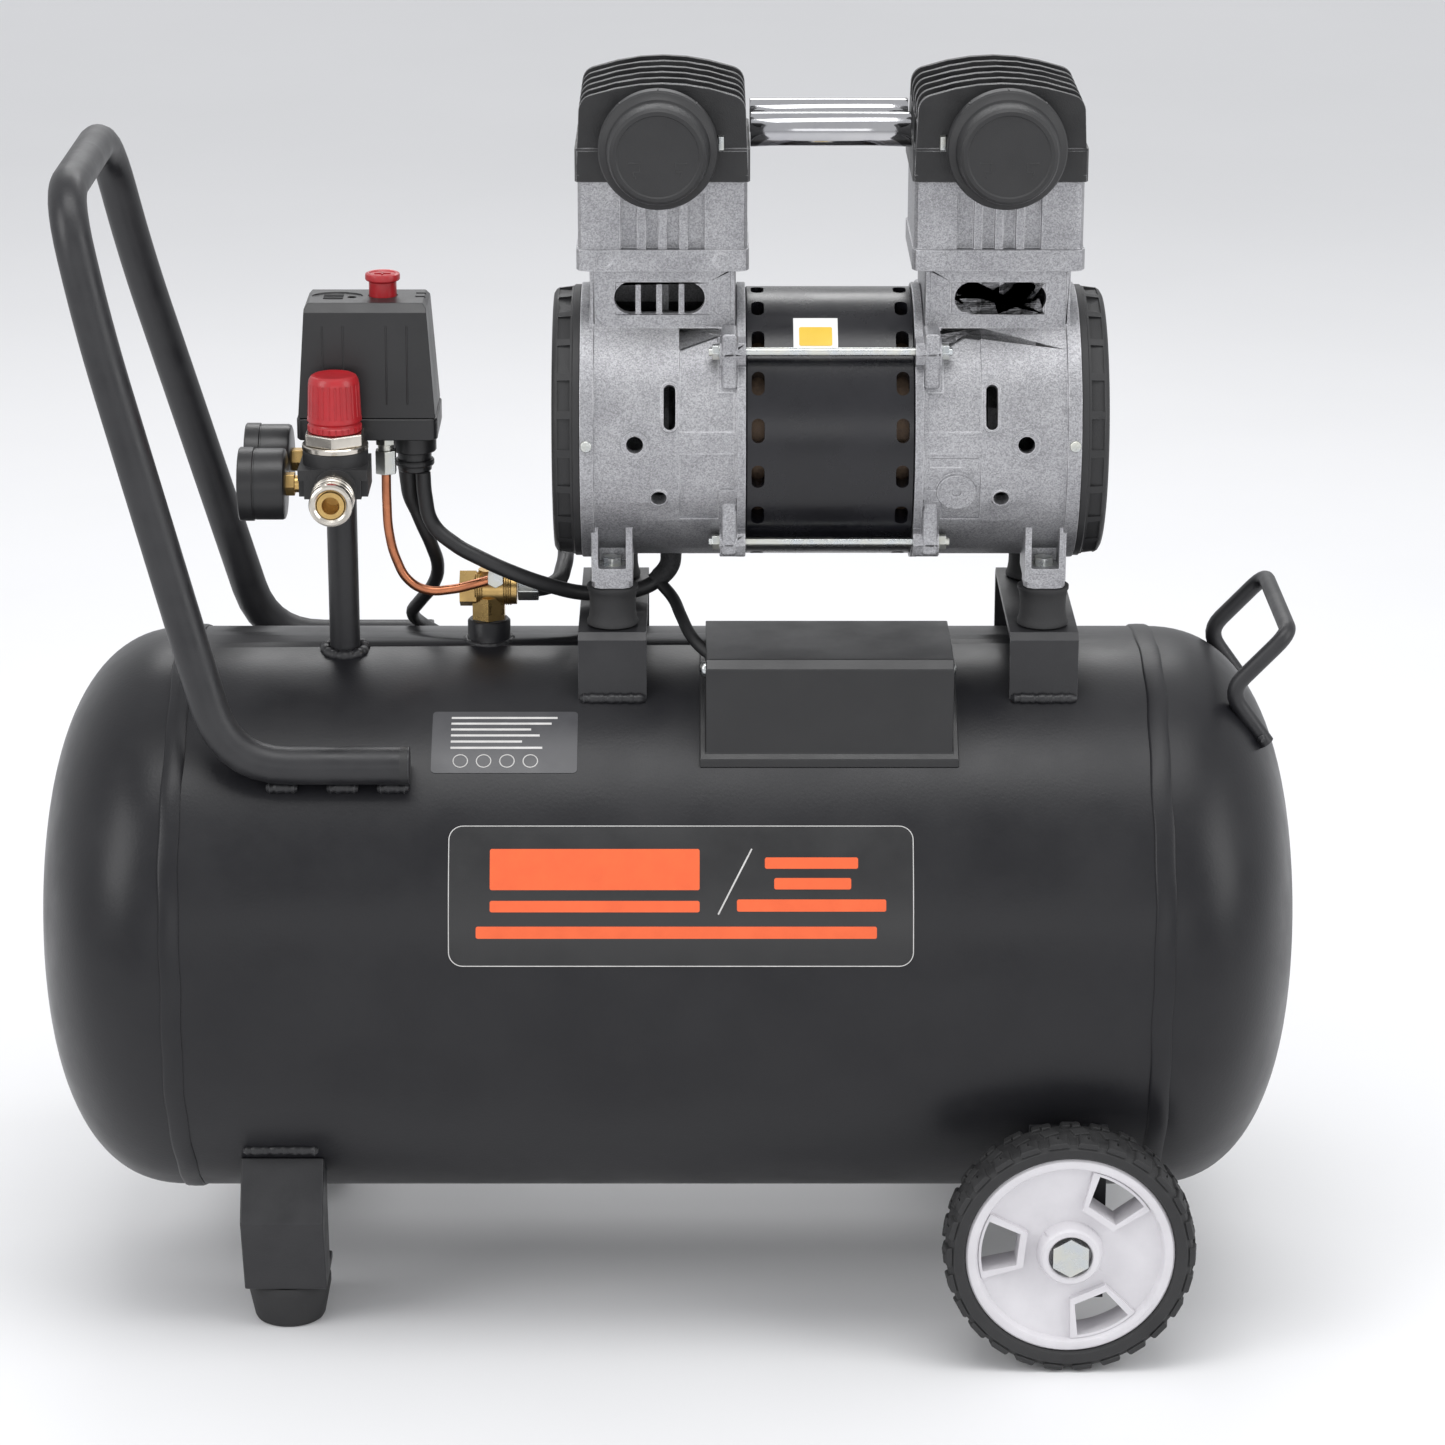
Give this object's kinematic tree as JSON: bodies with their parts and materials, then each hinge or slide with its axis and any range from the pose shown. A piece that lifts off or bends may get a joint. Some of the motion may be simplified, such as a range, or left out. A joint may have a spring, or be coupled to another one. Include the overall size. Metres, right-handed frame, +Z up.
{
  "type": "air compressor",
  "caption": "Portable oil-free air compressor: a twin-pump motor on rubber mounts above a horizontal wheeled tank, with pressure switch, regulator, gauges and handle.",
  "frame": {"origin": "on the ground under the middle of the tank", "axes": "+X along the tank towards the wheels, -Y towards the front with the filters, +Z up"},
  "size_m": [0.752, 0.537, 0.7363],
  "materials": {
    "black_paint": "satin black powder coat",
    "black_plastic": "fine moulded texture",
    "cast_aluminium": "sparkly as-cast silver",
    "black_casting": "semi-gloss black",
    "polished_tube": "polished",
    "black_rubber": "matt",
    "cable_jacket": "satin",
    "tyre_rubber": "matt with a moulded tread",
    "white_plastic": "pale grey-white moulding",
    "zinc_steel": "bright zinc",
    "red_plastic": "red moulding",
    "nickel": "nickel plate",
    "brass": "machined",
    "copper": "bare copper tube",
    "steel": "machined"
  },
  "bodies": {
    "frame": {"tank": "black_paint", "foot_bracket_front": "black_paint", "foot_bracket_rear": "black_paint", "wheel_bracket_front": "black_paint", "wheel_bracket_rear": "black_paint", "handle": "black_paint", "lift_handle": "black_paint", "saddle_left": "black_paint", "saddle_right": "black_paint", "motor_shell": "black_paint", "outlet_post": "black_paint", "fan_cover_left": "black_plastic", "fan_cover_right": "black_plastic", "capacitor_box": "black_plastic", "switch_base": "black_plastic", "switch_cover": "black_plastic", "gauge_outlet": "black_plastic", "gauge_tank": "black_plastic", "power_plug": "black_plastic", "crankcase_left": "cast_aluminium", "crankcase_right": "cast_aluminium", "cylinder_left": "cast_aluminium", "cylinder_right": "cast_aluminium", "cylinder_head_left": "black_casting", "cylinder_head_right": "black_casting", "regulator_body": "black_casting", "cross_tube_front": "polished_tube", "cross_tube_rear": "polished_tube", "rubber_foot_front": "black_rubber", "rubber_foot_rear": "black_rubber", "isolator_left_front": "black_rubber", "isolator_left_rear": "black_rubber", "isolator_right_front": "black_rubber", "isolator_right_rear": "black_rubber", "discharge_hose": "black_rubber", "motor_lead": "cable_jacket", "power_cord": "cable_jacket", "cord_coil": "cable_jacket", "wheel_bolt_front": "zinc_steel", "wheel_bolt_rear": "zinc_steel", "tie_rod_front_upper": "zinc_steel", "tie_rod_front_lower": "zinc_steel", "tie_rod_rear_upper": "zinc_steel", "tie_rod_rear_lower": "zinc_steel", "check_valve": "brass", "unloader_tube": "copper"},
    "front_wheel": {"wheel_rim_front": "white_plastic", "wheel_tyre_front": "tyre_rubber"},
    "rear_wheel": {"wheel_rim_rear": "white_plastic", "wheel_tyre_rear": "tyre_rubber"},
    "switch_button": {"switch_button": "red_plastic"},
    "regulator_knob": {"regulator_knob": "red_plastic"},
    "coupler_sleeve": {"coupler_sleeve": "nickel"},
    "needle_outlet": {"needle_outlet": "red_plastic"},
    "needle_tank": {"needle_tank": "red_plastic"},
    "rotor": {"rotor": "steel"},
    "piston_left": {"piston_left": "cast_aluminium"},
    "piston_right": {"piston_right": "cast_aluminium"},
    "filter_cap_left": {"filter_cap_left": "black_plastic"},
    "filter_cap_right": {"filter_cap_right": "black_plastic"}
  },
  "joints": [
    {"name": "front_wheel_spin", "type": "hinge", "parent": "frame", "child": "front_wheel", "pos_m": [0.235, -0.1715, 0.074], "axis": [0, 1, 0], "continuous": true},
    {"name": "rear_wheel_spin", "type": "hinge", "parent": "frame", "child": "rear_wheel", "pos_m": [0.235, 0.1715, 0.074], "axis": [0, 1, 0], "continuous": true},
    {"name": "switch_button_press", "type": "slide", "parent": "frame", "child": "switch_button", "axis": [0, 0, 1], "range_m": [-0.005, 0]},
    {"name": "regulator_knob_turn", "type": "hinge", "parent": "frame", "child": "regulator_knob", "pos_m": [-0.192, -0.052, 0.5353], "axis": [0, 0, 1], "range_deg": [-720, 720]},
    {"name": "coupler_sleeve_pull", "type": "slide", "parent": "frame", "child": "coupler_sleeve", "axis": [0, 1, 0], "range_m": [0, 0.003], "stiffness_N_per_m": 400, "springref_m": -0.002},
    {"name": "needle_outlet_swing", "type": "hinge", "parent": "frame", "child": "needle_outlet", "pos_m": [-0.246, -0.052, 0.5033], "axis": [1, 0, 0], "range_deg": [0, 270]},
    {"name": "needle_tank_swing", "type": "hinge", "parent": "frame", "child": "needle_tank", "pos_m": [-0.246, -0.008, 0.5063], "axis": [1, 0, 0], "range_deg": [0, 270]},
    {"name": "shaft_spin", "type": "hinge", "parent": "frame", "child": "rotor", "pos_m": [0.094, 0, 0.5282], "axis": [1, 0, 0], "continuous": true},
    {"name": "piston_left_stroke", "type": "slide", "parent": "frame", "child": "piston_left", "axis": [0, 0, 1], "range_m": [-0.008, 0.008]},
    {"name": "piston_right_stroke", "type": "slide", "parent": "frame", "child": "piston_right", "axis": [0, 0, 1], "range_m": [-0.008, 0.008]},
    {"name": "filter_cap_left_twist", "type": "hinge", "parent": "frame", "child": "filter_cap_left", "pos_m": [-0.0045, -0.056, 0.7019], "axis": [0, 1, 0], "range_deg": [-30, 0]},
    {"name": "filter_cap_right_twist", "type": "hinge", "parent": "frame", "child": "filter_cap_right", "pos_m": [0.1925, -0.056, 0.7019], "axis": [0, 1, 0], "range_deg": [-30, 0]}
  ]
}
